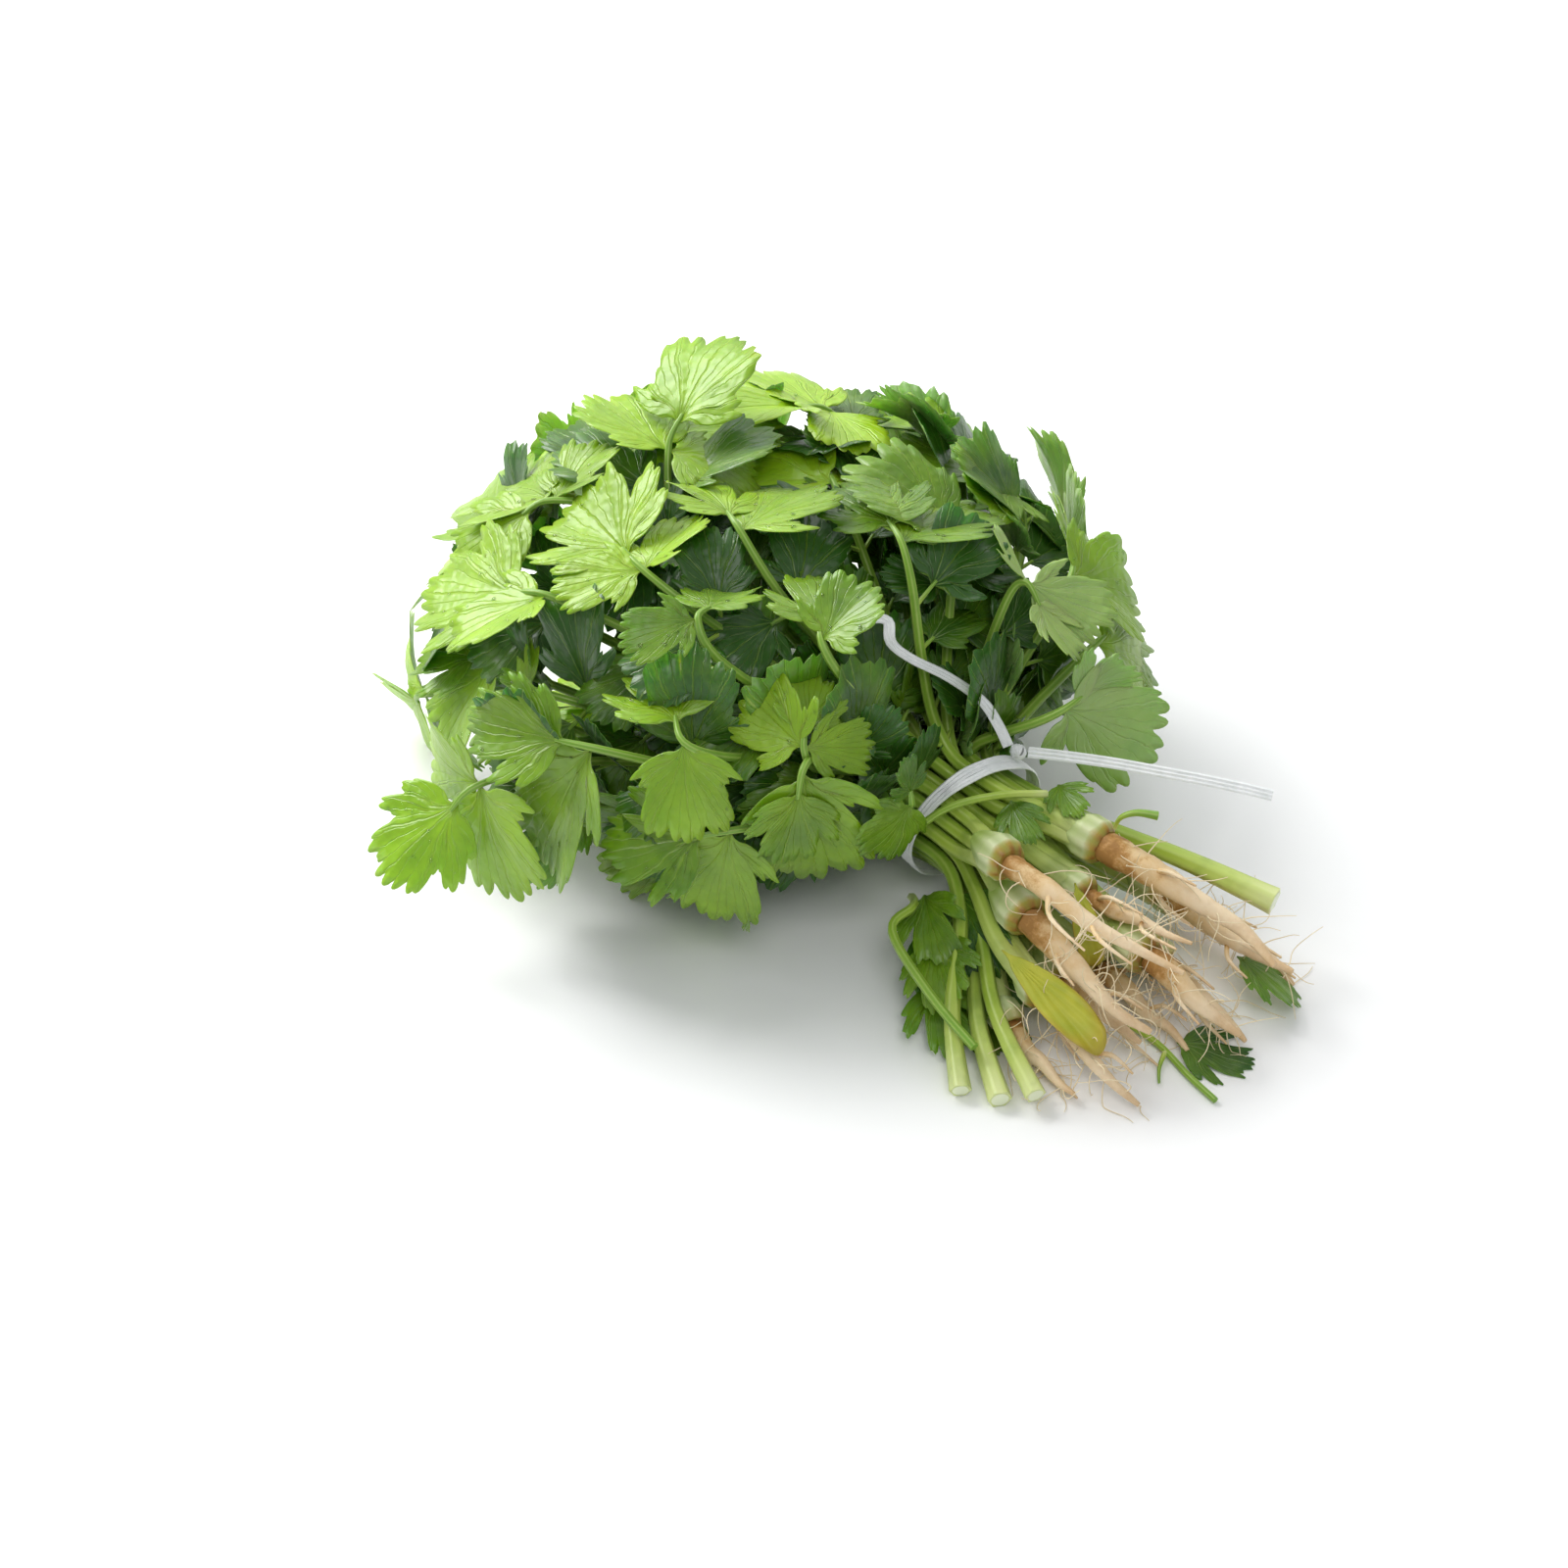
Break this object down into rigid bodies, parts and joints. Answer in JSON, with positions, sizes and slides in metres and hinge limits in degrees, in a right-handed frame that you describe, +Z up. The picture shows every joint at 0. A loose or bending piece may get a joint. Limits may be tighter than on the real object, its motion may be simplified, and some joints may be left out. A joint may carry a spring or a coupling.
{
  "type": "coriander bunch",
  "caption": "Bunch of whole coriander plants with roots, lying on its side and tied with a white plastic ribbon.",
  "frame": {"origin": "under the middle of the bunch, on the surface it lies on", "axes": "+X from the leaf tips towards the roots, +Z up; the knot of the ribbon is on the +Y side of the top"},
  "size_m": [0.2966, 0.2484, 0.1279],
  "materials": {
    "leaf": "satin",
    "stalk": "satin",
    "root": "matte",
    "yellow_leaf": "matte",
    "ribbon": "satin"
  },
  "bodies": {
    "root": {"plant_01": "leaf", "plant_02": "leaf", "plant_03": "leaf", "plant_04": "leaf", "plant_05": "leaf", "plant_06": "leaf", "plant_07": "leaf", "plant_08": "leaf", "plant_09": "leaf", "plant_10": "leaf", "plant_11": "leaf", "plant_12": "leaf", "cut_stalk_01": "leaf", "cut_stalk_02": "leaf", "cut_stalk_03": "leaf", "cut_stalk_04": "leaf", "root_01": "root", "root_02": "root", "root_03": "root", "root_04": "root", "root_05": "root", "root_06": "root", "root_07": "root", "root_08": "root", "root_09": "root", "root_10": "root", "root_11": "root", "root_12": "root", "stray_stalk": "stalk", "bent_stalk": "stalk", "thin_stem": "stalk", "yellow_leaf_01": "yellow_leaf", "yellow_leaf_02": "yellow_leaf", "tie_band": "ribbon", "tie_tail_far": "ribbon", "tie_tail_near": "ribbon"}
  },
  "joints": []
}
